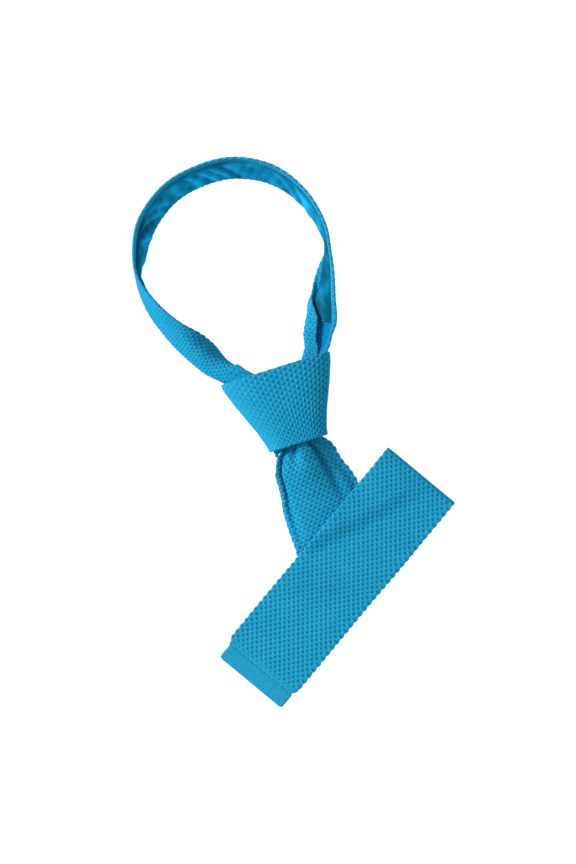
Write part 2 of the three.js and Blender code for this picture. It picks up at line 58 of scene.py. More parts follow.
# Sizes in millimetres: the part's own, with a few that only the looks have
LOOP_WIDTH = 127
LOOP_HEIGHT = 128
BAND_WIDTH = 38
KNIT = 2.4
LINING = 1.0
GAP = 0.3
LINING_GAP = 0.12
LINING_RETREAT = 0.11
LINING_RETREAT_FROM = 13
LINING_RETREAT_OVER = 3
TURN_GAP = 0.6
LAYER_GAP = 0.6
LINING_TOP_SHARE = 0.87
LINING_FOOT_SHARE = 0.1
KNOT_TOP_WIDTH = 75.5
KNOT_FOOT_WIDTH = 41
KNOT_LENGTH = 52
KNOT_TOP_DEPTH = 28
KNOT_FOOT_DEPTH = 23
KNOT_TILT = 17.5
BLADE_WIDTH = 56
FIRST_FALL = 82.8
FIRST_TILT = 26.8
FIRST_FOLD_TILT = 33.2
SECOND_FALL = 72.8
LAST_FALL = 179.5
LAST_FOLD_RADIUS = 2.9
HEM_WIDTH = 53.6
HEM_LENGTH = 11
HEM_SEAM = 0.08
HEM_RIB_PITCH = 1.35
HEM_RIB_HEIGHT = 0.3
CORNER_RADIUS = 2.0
TAIL_WIDTH = 30
TAIL_LENGTH = 56
ROOT_INSIDE = 14
CREASE_SHARE = 0.3
LINING_FIRST_PLACE = 4.0
LINING_LAST_PLACE = 18.0
CREASE_PLACE = 7.45
RIM_AT = 0.465
RIM_HALF = 0.055
ROUND_TOP = 2.6
ROUND_FOOT = 5


def columns(names, rows):
    """A table of given numbers, by column name."""
    return dict(zip(names.split(), np.array(rows, float).T))


# The tables started as the part's, and many of their rows were changed for the looks.
# The line of the band's middle from inside the knot, round the neck and back into the knot
BAND = columns(
    "across up over down lean low crease high brim wide lift",
    [
        (0, 0, -0.195, 0.27, -90, 96, 0.33, 96, 0.67, 0.76, 0.182),
        (0, 0, -0.25, 0.11, -88, 94, 0.33, 94, 0.67, 0.76, 0.182),
        (0, 0, -0.432, -0.14, -78, 82, 0.31, 94, 0.67, 0.76, 0.12),
        (-0.398, 0.05, 0, 0, -34, 36, 0.25, 76, 0.69, 0.88, 0),
        (-0.539, 0.181, 0, 0, -20, 14, 0.25, 18, 0.75, 1, 0),
        (-0.653, 0.324, 0, 0, -12, 6, 0.25, 6, 0.75, 1, 0),
        (-0.716, 0.46, 0, 0, -3, 4, 0.25, 4, 0.75, 1, 0),
        (-0.708, 0.595, 0, 0, 8, 18, 0.03, 4, 0.75, 1, 0),
        (-0.667, 0.742, 0, 0, 14, 26, 0.03, 5, 0.75, 1, 0),
        (-0.557, 0.893, 0, 0, 14.5, 34, 0.03, 6, 0.75, 1, 0),
        (-0.42, 0.98, 0, 0, 14, 34, 0.03, 6, 0.75, 1, 0),
        (-0.226, 1.033, 0, 0, 14, 34, 0.03, 6, 0.75, 1, 0),
        (-0.018, 1.0, 0, 0, 12, 34, 0.03, 6, 0.75, 1, 0),
        (0.146, 0.885, 0, 0, 8, 30, 0.03, 5, 0.75, 1, 0),
        (0.249, 0.729, 0, 0, 4, 24, 0.03, 4, 0.75, 1, 0),
        (0.276, 0.64, 0, 0, 1, 30, 0.03, 4, 0.75, 1, 0),
        (0.273, 0.52, 0, 0, 11, 100, 0.05, 5, 0.75, 1, 0),
        (0.262, 0.38, 0, 0, 20, 192, 0.11, 4, 0.75, 1, 0),
        (0.224, 0.25, 0, 0, 60, 182, 0.29, 34, 0.72, 1, 0),
        (0.207, 0.17, 0, 0, 70, 185, 0.29, 55, 0.72, 0.97, 0),
        (0, 0, 0.358, -0.1, 74, 190, 0.34, 48, 0.7, 0.8, 0.08),
        (0, 0, 0.29, 0.06, 66, 196, 0.36, 88, 0.65, 0.77, 0.172),
        (0, 0, 0.27, 0.27, 68, 196, 0.38, 88, 0.64, 0.76, 0.182),
    ],
)
KNOT_TAPER = columns("at wide", [(0, 1), (0.25, 0.79), (0.5, 0.49), (0.75, 0.19), (1, 0)])
UNDER_WRAP = columns(
    "angle top foot",
    [
        (112, 0.0, 0.8),
        (120, -0.07, 0.82),
        (130, -0.19, 0.85),
        (140, -0.2, 0.88),
        (152, 0.12, 1.0),
        (172, 0.2, 1.09),
        (192, 0.18, 1.09),
        (215, 0.08, 1.07),
        (235, 0.06, 1.02),
        (270, 0.04, 0.92),
        (320, 0.06, 0.9),
    ],
)
FIRST = columns(
    "at shift stack side dome cuff left mid right rim hold",
    [
        (-0.17, 0.1, 3, 3, 0.75, 0.45, 0, 0.55, 0.4, 0, 1),
        (0, 0.1, 3, 2.9, 0.85, 0.45, 0.05, 0.55, 0.5, 0, 1),
        (0.03, 0.086, 2.9, 2.7, 0.88, 0.4, 0.1, 0.45, 0.53, 0.02, 0.75),
        (0.08, 0.084, 2.6, 2.2, 0.92, 0.3, 0.2, 0.3, 0.55, 0.06, 0.42),
        (0.18, 0.062, 1.7, 0.9, 0.95, 0.15, 0.3, 0.06, 0.52, 0.14, 0.05),
        (0.34, 0.042, 1.1, 0.1, 0.62, 0.06, 0.2, 0, 0.3, 0.2, 0),
        (0.5, 0.03, 1.05, 0, 0.28, 0, 0.1, 0, 0.14, 0.18, 0),
        (0.7, 0.01, 1.05, 0, 0.06, 0, 0.02, 0, 0.02, 0.1, 0),
        (0.86, 0, 0, 0, 0, 0, 0, 0, 0, 0, 0),
        (1.4, 0, 0, 0, 0, 0, 0, 0, 0, 0, 0),
    ],
)
# Grooves of the wide end: name, start and end across the cloth, half width, shares of its width
GROOVES = (
    ("left", -0.4, -0.37, 0.09),
    ("mid", -0.12, -0.1, 0.13),
    ("right", 0.22, 0.3, 0.12),
)
# How far the first fall's forms spread, in shares of the cloth's width or of the fall
SIDE_SLOPE = 0.18
CUFF_FROM = 0.33
CUFF_REACH = 0.17
GROOVE_SPEED = 1.6
# How the layers laid on the first fall feel it and come down off it, in millimetres and shares
REST_MARGIN = 1.5
REST_LEFT = 0.45
REST_RIGHT = 0.95
REST_FLATTEN = 0.6
SETTLE_AFTER = 4
SETTLE_REACH = 0.55
BESIDE_REACH = 0.5
# How the narrow end is drawn in by the knot, and how soon it comes down to the surface
TAIL_HOLD = 0.74
TAIL_HOLD_REACH = 0.3
TAIL_DROP_REACH = 0.36

# Knit, in millimetres, and the powers that shape its loops
ROW = 2.41
COLUMN = 4.0
KNOT_ROW = 2.74
KNOT_COLUMN = 3.66
STITCH_DEPTH = 0.65
SMOOTH = 0.72
SELVAGE = 1.0
SCALLOP = 0.4
LOOP_RADIUS = 1.4
YARN_HALF = 0.85
LEG = 0.12
NET_LEG = 0.42
BAR = 0.92
BAR_POWER = 2.2
HEAD_POWER = 1.4
YARN_POWER = 0.7
BAND_ROW = 0.95 * ROW
BAND_COLUMN = 0.92 * COLUMN
BAND_NET = 0.35
STEPS_IN_STITCH = 3.6
# Beads along the selvages
BEAD_MARGIN = 4.5
BEAD_POWER = 0.6
BEAD_MEAN = 1.3
BEAD_START_LEFT = 1.2
BEAD_START_RIGHT = 0.3
EDGE_SMOOTH = 0.6
# Fade of the wide end into its hem, and how the hem's ribs sink and round off at its ends
HEM_FADE = 0.75
HEM_TONE = 0.85
HEM_FADE_LENGTH = 6.5
HEM_DRAW_LENGTH = 6
HEM_DRAW = 0.075
HEM_SUNK = 0.35
HEM_END_SUNK = 0.5
HEM_FRONT_LIFT = 0.22
HEM_TIP_ROUND = 1.2
# Heights of the lining's long wrinkles, short ones and crease, and the height that gets the
# lightest painted highlight
WRINKLE = 1.6
RIPPLE = 0.3
CREASE = 0.8
WRINKLE_TONE = 1.8
# Points across the front and across the back of each piece's section
SECTION = {
    "neck_band": (62, 62),
    "neck_lining": (54, 12),
    "knot_wrap": (96, 22),
    "knot_under_wrap": (72, 20),
    "front_blade": (118, 26),
    "tail": (60, 16),
}
POINTS_IN_RIB = 6

# Where the band is stretched smooth or darkened by painted shade, and where the lining's ends are
# darkened by painted shade:
# how much, at which place of the band's table, and how far, backwards when negative
BAND_CALM = (0.6, 6.2, 2.6)
BAND_SHADE = (0.3, 5.3, 2.7)
LINING_SHADES = ((0.3, 14.4, 0.8), (0.45, 8.4, -0.7))
# Painted shade in the hollow under the lip where the band folds before the knot: its ramp in
# places, how much where the lining lies and how much on bare knit
LIP_RAMP = 0.3
LIP_SHADE_LINED = 0.85
LIP_SHADE_BARE = 0.5
# How smooth the knot's left side is, in its shape and in the holes' painted shade, lightened there
# as painted light on the lit side, and at which degrees round it starts and stops, over how many
KNOT_CALM = 0.55
KNOT_CALM_FROM = (104, 40)
KNOT_CALM_TO = (250, 30)
# Painted shade on the nub, the under wrap's top edge by the knot
NUB_SHADE = 0.45

# Grain of the finishes, in waves to a metre, and the tints of their shine
SOFT_GRAIN = 60.0
PATCH_GRAIN = 420.0
FUZZ_GRAIN = 1800.0
SATIN_GRAIN = 90.0
SHEEN_TINT = (0.05, 0.5, 0.8, 1.0)
SATIN_TINT = (0.08, 0.5, 0.8, 1.0)

# Stage, in metres; its lens and sensor in millimetres
EYE_PLACE = (-0.00462, 0.00276)
EYE_LENS = 85
EYE_SENSOR = 36
KEY_PLACE = (-1.22, 0.36, 0.85)
KEY_SIZE = 0.45
WORLD_LIGHT = 0.5
FLOOR_SIZE = 6
FLOOR_DROP = 0.0002
FLOOR_TONE = 0.3
FLOOR_GLOW = 0.92


def radians(degrees):
    """Degrees to radians."""
    return degrees * math.pi / 180


def ease(x):
    """A smooth step from 0 to 1."""
    s = np.clip(x, 0, 1)
    return s * s * (3 - 2 * s)


def bell(x):
    """A smooth hump, 1 in the middle and 0 from 1 on."""
    return np.where(np.abs(x) < 1, 0.5 + 0.5 * np.cos(np.pi * np.clip(x, -1, 1)), 0)


def mix(a, b, s):
    """From a to b."""
    return a + (b - a) * s


def read(table, column, where, key=None):
    """Smooth reading of a table's column without overshoot."""
    y = table[column]
    x = table[key] if key else np.arange(len(y), dtype=float)
    slope = np.diff(y) / np.diff(x)
    tangent = np.zeros_like(y)
    before, after = slope[:-1], slope[1:]
    same = before * after > 0
    tangent[1:-1][same] = 2 * before[same] * after[same] / (before[same] + after[same])
    w = np.clip(where, x[0], x[-1])
    i = np.clip(np.searchsorted(x, w) - 1, 0, len(x) - 2)
    span = x[i + 1] - x[i]
    s = (w - x[i]) / span
    s2, s3 = s * s, s * s * s
    return (
        (2 * s3 - 3 * s2 + 1) * y[i]
        + (s3 - 2 * s2 + s) * span * tangent[i]
        + (3 * s2 - 2 * s3) * y[i + 1]
        + (s3 - s2) * span * tangent[i + 1]
    )


def axes(tilt):
    """Directions over and down on the surface for a tilt in degrees."""
    c, s = math.cos(radians(tilt)), math.sin(radians(tilt))
    return np.array([c, s]), np.array([s, -c])


KNOT_OVER, KNOT_DOWN = axes(KNOT_TILT)
FIRST_OVER, FIRST_DOWN = axes(FIRST_TILT)


# Neck band


def band_line(place):
    """The band's middle line on the surface, at a place in its table."""
    over, down = BAND["over"] * KNOT_TOP_WIDTH, BAND["down"] * KNOT_LENGTH
    flat = np.stack([BAND["across"] * LOOP_WIDTH, BAND["up"] * LOOP_HEIGHT], 1)
    p = flat + np.outer(over, KNOT_OVER) + np.outer(down, KNOT_DOWN)
    p = np.vstack([2 * p[0] - p[1], p, 2 * p[-1] - p[-2]])
    place = np.clip(place, 0, len(flat) - 1)
    i = np.clip(np.floor(place).astype(int), 0, len(flat) - 2)
    w = (place - i)[:, None]
    a, b, c, d = p[i], p[i + 1], p[i + 2], p[i + 3]
    span = [np.sqrt(np.linalg.norm(q, axis=1))[:, None] for q in (b - a, c - b, d - c)]
    t1 = (b - a) / span[0] - (c - a) / (span[0] + span[1]) + (c - b) / span[1]
    t2 = (c - b) / span[1] - (d - b) / (span[1] + span[2]) + (d - c) / span[2]
    t1, t2 = t1 * span[1], t2 * span[1]
    return b + t1 * w + (3 * (c - b) - 2 * t1 - t2) * w**2 + (2 * (b - c) + t1 + t2) * w**3


class Band:
    """Sections of the neck band at a list of places."""

    STEPS = 96

    def __init__(self, places):
        self.here = band_line(places)
        along = band_line(places + 0.02) - band_line(places - 0.02)
        along /= np.linalg.norm(along, axis=1)[:, None]
        self.out_way = np.stack([-along[:, 1], along[:, 0]], 1)
        get = {n: read(BAND, n, places)[:, None] for n in BAND}
        self.lean, self.low, self.high = (np.radians(get[n]) for n in ("lean", "low", "high"))
        self.crease, self.brim = get["crease"], get["brim"]
        step = get["wide"] * BAND_WIDTH / 2 / self.STEPS
        share = (np.arange(self.STEPS) + 0.5) / self.STEPS / 2
        above, below = self.angle(0.5 + share[None]), self.angle(0.5 - share[None])
        zero = np.zeros_like(step)

        def ladder(wave):
            up = np.cumsum(wave(above) * step, 1)
            down = -np.cumsum(wave(below) * step, 1)
            return np.hstack([down[:, ::-1], zero, up])

        self.out, self.up = ladder(np.sin), ladder(np.cos)
        grid = np.linspace(0, 1, 2 * self.STEPS + 1)[None]
        face = np.abs(np.sin(self.angle(grid))) * KNIT / 2
        self.base = get["lift"] * BAND_WIDTH - np.min(self.up - face, 1)[:, None]

    def angle(self, share):
        """Lean of the cloth at a share of its width from the foot."""
        lower = ease((self.crease - share) / CREASE_SHARE + 0.5)
        upper = ease((share - self.brim) / CREASE_SHARE + 0.5)
        return self.lean + self.low * lower - self.high * upper

    def point(self, share, off):
        """Points at shares of the width, off the middle towards the front."""
        k = share * 2 * self.STEPS
        i = np.clip(np.floor(k).astype(int), 0, 2 * self.STEPS - 1)
        f = k - i
        row = np.arange(len(self.here))[:, None]
        turn = self.angle(share)
        out = mix(self.out[row, i], self.out[row, i + 1], f) + off * np.cos(turn)
        up = mix(self.up[row, i], self.up[row, i + 1], f) - off * np.sin(turn) + self.base
        flat = self.here[:, None, :] + out[..., None] * self.out_way[:, None, :]
        return np.concatenate([flat, up[..., None]], 2)


# Knot


def sleeve_point(angle, share, inset):
    """A point of the knot's tapered sleeve, in degrees round it and share of its length."""
    wide = read(KNOT_TAPER, "wide", share, "at")
    half = mix(KNOT_FOOT_WIDTH, KNOT_TOP_WIDTH, wide) / 2 - inset
    depth = mix(KNOT_FOOT_DEPTH, KNOT_TOP_DEPTH, wide) / 2
    c, s = np.cos(np.radians(angle)), np.sin(np.radians(angle))
    power = np.where(s > 0, ROUND_TOP, ROUND_FOOT)
    reach = (np.abs(c) ** power + np.abs(s) ** power) ** (-1 / power)
    over, down = half * c * reach, share * KNOT_LENGTH
    flat = over[..., None] * KNOT_OVER + down[..., None] * KNOT_DOWN
    return np.concatenate([flat, (depth + (depth - inset) * s * reach)[..., None]], -1)


# Wide end

LAYER_STEP = KNIT + LAYER_GAP
ROOM = KNOT_FOOT_DEPTH - 2 * KNIT - GAP - 3 * LAYER_STEP
CLEAR = KNOT_FOOT_WIDTH - 2 * (2 * KNIT + TURN_GAP + GAP)
FIRST_RADIUS = LAYER_STEP / 2
FOLD_SLOPE = math.tan(radians(FIRST_FOLD_TILT))
FOLD_SIN = math.sin(radians(FIRST_FOLD_TILT))
FOLD_COS = math.cos(radians(FIRST_FOLD_TILT))
FIRST_TURN = math.pi * FIRST_RADIUS
LAST_TURN = math.pi * LAST_FOLD_RADIUS
LAST_FOLD_AT = FIRST_FALL + FIRST_TURN / FOLD_COS + SECOND_FALL - LAST_FOLD_RADIUS - KNIT / 2
CLOTH_END = LAST_FOLD_AT + LAST_TURN + LAST_FALL - LAST_FOLD_RADIUS - KNIT / 2
FOLD_PLACE = (
    KNOT_DOWN * KNOT_LENGTH
    + FIRST_FALL * FIRST_DOWN
    - FIRST["shift"][0] * BLADE_WIDTH * FIRST_OVER
)


def first_middle(along):
    """Sideways place of the cloth's middle on the first fall."""
    shift = read(FIRST, "shift", along / FIRST_FALL, "at") * BLADE_WIDTH
    return shift + np.minimum(along, 0) * math.tan(radians(KNOT_TILT - FIRST_TILT))


def first_height(along, v):
    """Height of the first fall's middle surface, along it and across its cloth."""
    at, s = along / FIRST_FALL, v / BLADE_WIDTH

    def get(name):
        return read(FIRST, name, at, "at")

    sides = ease((np.abs(v) - TAIL_WIDTH / 2 - KNIT) / (BLADE_WIDTH * SIDE_SLOPE))
    z = KNIT / 2 + LAYER_STEP * mix(get("stack"), get("side"), sides)
    z = z + ROOM * get("dome") * np.cos(np.pi * np.clip(s, -0.5, 0.5)) ** 2
    z = z + ROOM * get("cuff") * ease((np.abs(s) - CUFF_FROM) / CUFF_REACH) ** 2
    for name, start, end, wide in GROOVES:
        middle = mix(start, end, np.clip(at * GROOVE_SPEED, 0, 1))
        z = z - ROOM * get(name) * bell((s - middle) / wide)
    return z + ROOM * get("rim") * bell((s + RIM_AT) / RIM_HALF)


class FirstFall:
    """The first fall's height and sideways place on a fine grid, read between its points."""

    STEP = 0.5

    def __init__(self):
        self.a0, self.v0 = -ROOT_INSIDE - 3.0, -BLADE_WIDTH / 2 - 4
        along = np.arange(self.a0, FIRST_FALL * 1.45, self.STEP)[:, None]
        v = np.arange(self.v0, -self.v0 + self.STEP, self.STEP)[None]
        self.height = first_height(along + 0 * v, v + 0 * along)
        rise = np.diff(self.height, axis=1)
        run = np.sqrt(np.maximum(self.STEP**2 - rise**2, 0.04 * self.STEP**2))
        reach = np.hstack([np.zeros_like(along), np.cumsum(run, 1)])
        middle = self.between(reach, along, 0 * along)
        reach = reach - middle
        half = BLADE_WIDTH / 2
        wide = self.between(reach, along, 0 * along + half) - self.between(
            reach, along, 0 * along - half
        )
        hold = read(FIRST, "hold", along / FIRST_FALL, "at")
        drawn = np.minimum((CLEAR - KNIT - GAP) / wide, 1)
        self.over = first_middle(along) + reach * mix(1, drawn, hold)

    def between(self, grid, along, v):
        """Reads a grid between its points."""
        x = np.clip((along - self.a0) / self.STEP, 0, grid.shape[0] - 1.001)
        y = np.clip((v - self.v0) / self.STEP, 0, grid.shape[1] - 1.001)
        i, j = x.astype(int), y.astype(int)
        f, g = x - i, y - j
        low = mix(grid[i, j], grid[i, j + 1], g)
        return mix(low, mix(grid[i + 1, j], grid[i + 1, j + 1], g), f)

    def at(self, along, v):
        """Height and sideways place."""
        return self.between(self.height, along, v), self.between(self.over, along, v)


def on_surface(along, over, z):
    """From places along and across the first fall to the knot's own place."""
    flat = (
        FOLD_PLACE
        + (along - FIRST_FALL)[..., None] * FIRST_DOWN
        + over[..., None] * FIRST_OVER
    )
    return np.concatenate([flat, z[..., None]], -1)


def rest_height(along, over):
    """Top of the first fall as the layers laid on it feel it."""
    half = BLADE_WIDTH / 2
    side = over - first_middle(along)
    v = np.clip(side, -half, half)
    reach = BLADE_WIDTH * np.where(side > 0, REST_RIGHT, REST_LEFT)
    beyond = ease(1 - (np.abs(side) - half - REST_MARGIN) / reach)
    v = np.where(v > 0, REST_FLATTEN * v, v)
    return (first_height(along, v) + KNIT / 2 + LAYER_GAP) * beyond


def blade_point(fall, u, v, off):
    """A point of the wide end: u along its cloth from the knot's foot, v across."""
    height, over = fall.at(u, v)
    rise = fall.at(u + 0.5, v)[0] - fall.at(u - 0.5, v)[0]
    ahead, behind = fall.at(u, v + 0.5), fall.at(u, v - 0.5)
    lean, tilt = np.arctan(rise), np.arctan2(ahead[0] - behind[0], ahead[1] - behind[1])
    first = on_surface(
        u - off * np.sin(lean) * np.cos(tilt),
        over - off * np.sin(tilt),
        height + off * np.cos(tilt) * np.cos(lean),
    )
    past = u - LAST_FOLD_AT
    turn = np.clip(past, 0, LAST_TURN) / LAST_FOLD_RADIUS
    flat = np.where(past > 0, LAST_FOLD_AT + (LAST_FOLD_RADIUS + off) * np.sin(turn), u)
    high = np.where(past > 0, (LAST_FOLD_RADIUS + off) * np.cos(turn) - LAST_FOLD_RADIUS, off)
    flat = np.where(past >= LAST_TURN, LAST_FOLD_AT - (past - LAST_TURN), flat)
    high = np.where(past >= LAST_TURN, -2 * LAST_FOLD_RADIUS - off, high)
    line = v * FOLD_COS + (flat - FIRST_FALL) * FOLD_SIN
    beyond = (flat - FIRST_FALL) * FOLD_COS - v * FOLD_SIN
    turning = (past <= 0) & (beyond < FIRST_TURN)
    bend = np.clip(beyond, 0, FIRST_TURN) / FIRST_RADIUS
    reach = np.where(turning, (FIRST_RADIUS - high) * np.sin(bend), FIRST_TURN - beyond)
    z = np.where(
        turning, FIRST_RADIUS - (FIRST_RADIUS - high) * np.cos(bend), 2 * FIRST_RADIUS - high
    )
    along = FIRST_FALL + line * FOLD_SIN + reach * FOLD_COS
    over = line * FOLD_COS - reach * FOLD_SIN
    rest = rest_height(along, over)
    z = z + np.where(turning, 0, rest - 2 * FIRST_RADIUS)
    spare = 2 * LAST_FOLD_RADIUS - LAYER_STEP
    settle = spare * ease((past - LAST_TURN - SETTLE_AFTER) / (BLADE_WIDTH * SETTLE_REACH))
    clear = reach - FIRST_RADIUS - KNIT / 2 - 1
    settle = settle + (rest + LAYER_STEP) * ease(clear / (BLADE_WIDTH * BESIDE_REACH))
    z = z - np.where(past > LAST_TURN, settle, 0)
    folded = on_surface(along, over, z + KNIT / 2)
    return np.where((u <= FIRST_FALL + v * FOLD_SLOPE)[..., None], first, folded)


# Cloth


def stitches(rows, cols, net=0.0):
    """Height of the knit, 0 in its holes to 1 on its loops; rows and columns counted.

    Holes lie staggered. Round each one bends a loop of yarn, whose head is towards the next row.
    net says how far the loops are pulled flat into a net of slanting bars, from 0 to 1.
    """
    p, q = rows / 2 + cols, rows / 2 - cols
    bar = (0.5 + 0.5 * np.cos(2 * np.pi * q)) ** BAR_POWER
    height = net * BAR * bar + 0 * rows
    leg = mix(LEG, NET_LEG, net)
    for i in (-0.5, 0.5, 1.5):
        for j in (-0.5, 0.5, 1.5):
            dp, dq = p - np.floor(p) - i, q - np.floor(q) - j
            du, dv = (dp + dq) * ROW, (dp - dq) / 2 * COLUMN
            far = np.hypot(du, dv) + 1e-6
            yarn = 1 - ((far - LOOP_RADIUS) / YARN_HALF) ** 2
            head = (0.5 + 0.5 * du / far) ** HEAD_POWER
            loop = np.clip(yarn, 0, 1) ** YARN_POWER * mix(leg, 1, head)
            height = np.maximum(height, loop)
    return height


class Ring:
    """Section round a strip of cloth: front, rounded selvage, back, rounded selvage.

    v is the place across, off the place through, nv and no the way out of the cloth, round the
    length round the section; fine is 1 where stitches are raised, which leaves out a plain back.
    """

    ARC = 5

    def __init__(self, half, thick, front, back, knit_back=False):
        r = thick / 2
        flat = half - r
        arc = np.linspace(0, np.pi, self.ARC + 2)[1:-1]
        ahead = np.linspace(-flat, flat, front)
        behind = np.linspace(flat, -flat, back)
        self.half, self.front, self.back = half, front, back
        self.v = np.concatenate([ahead, flat + r * np.sin(arc), behind, -flat - r * np.sin(arc)])
        self.off = np.concatenate(
            [0 * ahead + r, r * np.cos(arc), 0 * behind - r, -r * np.cos(arc)]
        )
        self.nv = np.concatenate([0 * ahead, np.sin(arc), 0 * behind, -np.sin(arc)])
        self.no = np.concatenate([0 * ahead + 1, np.cos(arc), 0 * behind - 1, -np.cos(arc)])
        self.round = np.concatenate(
            [
                ahead + flat,
                2 * flat + r * arc,
                3 * flat + np.pi * r - behind,
                4 * flat + np.pi * r + r * arc,
            ]
        )
        self.girth = 4 * flat + 2 * np.pi * r
        knit = 0 * arc + 1
        self.fine = np.concatenate([0 * ahead + 1, knit, 0 * behind + knit_back, knit])

    def __len__(self):
        return len(self.v)

    def ends(self):
        """Indices of the front and of the back, both from the first selvage to the second."""
        n = len(self)
        front = list(range(self.front))
        back = list(range(self.front + self.ARC, self.front + self.ARC + self.back))
        tail = list(range(n - self.ARC, n))
        left = tail[::-1]
        right = list(range(self.front, self.front + self.ARC))
        middle = self.ARC // 2
        front = [left[middle]] + left[:middle][::-1] + front + right[: middle + 1]
        back = [left[middle]] + left[middle + 1 :] + back[::-1] + right[middle:][::-1]
        return front, back


def zip_faces(one, two):
    """Triangles between two lines of points that start and end at the same points."""
    faces = []
    i = j = 0
    while i < len(one) - 1 or j < len(two) - 1:
        first = (i + 1) / (len(one) - 1) if i < len(one) - 1 else 9
        second = (j + 1) / (len(two) - 1) if j < len(two) - 1 else 9
        if first <= second:
            new = (one[i], one[i + 1], two[j])
            i += 1
        else:
            new = (one[i], two[j + 1], two[j])
            j += 1
        if len(set(new)) == 3:
            faces.append(new)
    return faces


def cloth(name, points, rows, cols, relief_and_shade, ends=None):
    """A closed piece of cloth from its section rings; without ends the rings close on themselves.

    rows and cols are the counts of stitches along and round, for the map; relief is painted into
    the colour: painted shade where it is low, lighter where it is high.
    """
    count, size = points.shape[:2]
    ring = np.arange(size)
    spans = count if ends is None else count - 1
    i = np.arange(spans)[:, None]
    j = (i + 1) % count
    a, b = ring[None], (ring[None] + 1) % size
    quads = np.stack([i * size + a, j * size + a, j * size + b, i * size + b], 2)
    quads = quads.reshape(-1, 4)
    row_of = np.stack([rows, np.append(rows[1:], 0)])[:, :spans]
    col_next = np.append(cols[1:], cols[0] + np.round(cols[-1] - cols[0] + 0.5))
    shape = (spans, size)
    us = np.stack([np.broadcast_to(row_of[k][:, None], shape) for k in (0, 1, 1, 0)], 2)
    corners = (cols, cols, col_next, col_next)
    vs = np.stack([np.broadcast_to(c[None], shape) for c in corners], 2)
    uv = np.stack([us, vs], 3).reshape(-1, 2)
    caps = []
    if ends is not None:
        front, back = ends
        caps = zip_faces(front, back)
        far = (count - 1) * size
        caps = [tuple(reversed(f)) for f in caps] + [tuple(far + k for k in f) for f in caps]
    flat = points.reshape(-1, 3)
    tri = np.vstack([quads[:, :3], quads[:, [0, 2, 3]]])
    p, q, r = (flat[tri[:, k]] for k in range(3))
    if np.einsum("ij,ij->i", p, np.cross(q, r)).sum() < 0:
        quads = quads[:, ::-1]
        uv = uv.reshape(-1, 4, 2)[:, ::-1].reshape(-1, 2)
        caps = [tuple(reversed(f)) for f in caps]
    mesh = bpy.data.meshes.new(name)
    place = np.append(ORIGIN, 0.0)
    mesh.from_pydata((flat + place) * MM, [], quads.tolist() + caps)
    layer = mesh.uv_layers.new(name="cloth")
    cap_uv = np.array([(0.0, cols[k % size]) for f in caps for k in f]).reshape(-1, 2)
    layer.data.foreach_set("uv", np.vstack([uv, cap_uv]).astype(np.float32).ravel())
    paint = mesh.attributes.new("relief_and_shade", "FLOAT", "POINT")
    paint.data.foreach_set("value", relief_and_shade.reshape(-1).astype(np.float32))
    mesh.shade_smooth()
    mesh.update()
    piece = bpy.data.objects.new(name, mesh)
    bpy.context.scene.collection.objects.link(piece)
    return piece


def knit_offsets(ring, rows, cols, net, calm=0.0, selvage=SELVAGE, scallop=SCALLOP):
    """Height of a strip's knit, and where it moves the points of each section, v and off.

    calm says how far the stitches are stretched smooth.
    """
    smooth = mix(SMOOTH, 1, ease(calm * 4 - 3))
    height = mix(stitches(rows[:, None], cols[None], net), smooth, calm)
    return (height, *raise_knit(ring, rows[:, None], height, selvage, scallop))


def raise_knit(ring, rows, height, selvage, scallop):
    """Sinks the holes into a strip's section and rounds its selvages out in beads."""
    rim = ease((np.abs(ring.v) - ring.half) / BEAD_MARGIN + 1)[None]
    start = np.where(ring.v > 0, BEAD_START_RIGHT, BEAD_START_LEFT)[None]
    beads = np.abs(np.cos(np.pi / 2 * rows + start)) ** BEAD_POWER
    less = (1 - EDGE_SMOOTH * np.abs(ring.nv))[None]
    push = -STITCH_DEPTH * (1 - height) * less * ring.fine[None]
    v = ring.v[None] + ring.nv[None] * push
    v = v + np.sign(ring.v)[None] * rim * (selvage + scallop * (2 * beads - BEAD_MEAN))
    return v, ring.off[None] + ring.no[None] * push


def sleeve_origin():
    """Where the middle of the knot's top edge lies in the row frame, in millimetres."""
    angle = np.arange(45)[:, None] * 8.0
    share = np.linspace(0, 1, 7)[None]
    points = sleeve_point(angle + 0 * share, share + 0 * angle, 0.0 * (angle + share))
    low = points.reshape(-1, 3).min(0)
    return np.array(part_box("knot_wrap")[0][:2]) / MM - low[:2]


ORIGIN = sleeve_origin()


# Pieces


def lengths(line):
    """Length along a line up to each of its points."""
    return np.append(0, np.cumsum(np.linalg.norm(np.diff(line, axis=0), axis=1)))


def hump(places, much, middle, reach):
    """A hump along the band, as high as much."""
    return much * bell((places - middle) / reach)


def whole_columns(girth, pitch):
    """Width of a stitch column so that a whole number goes round."""
    return girth / max(1, round(girth / pitch))


def lining_foot(places):
    """Share of the band's width at which the lining's lower edge is sewn down."""
    retreat = ease((places - LINING_RETREAT_FROM) / LINING_RETREAT_OVER)
    return LINING_FOOT_SHARE + LINING_RETREAT * retreat


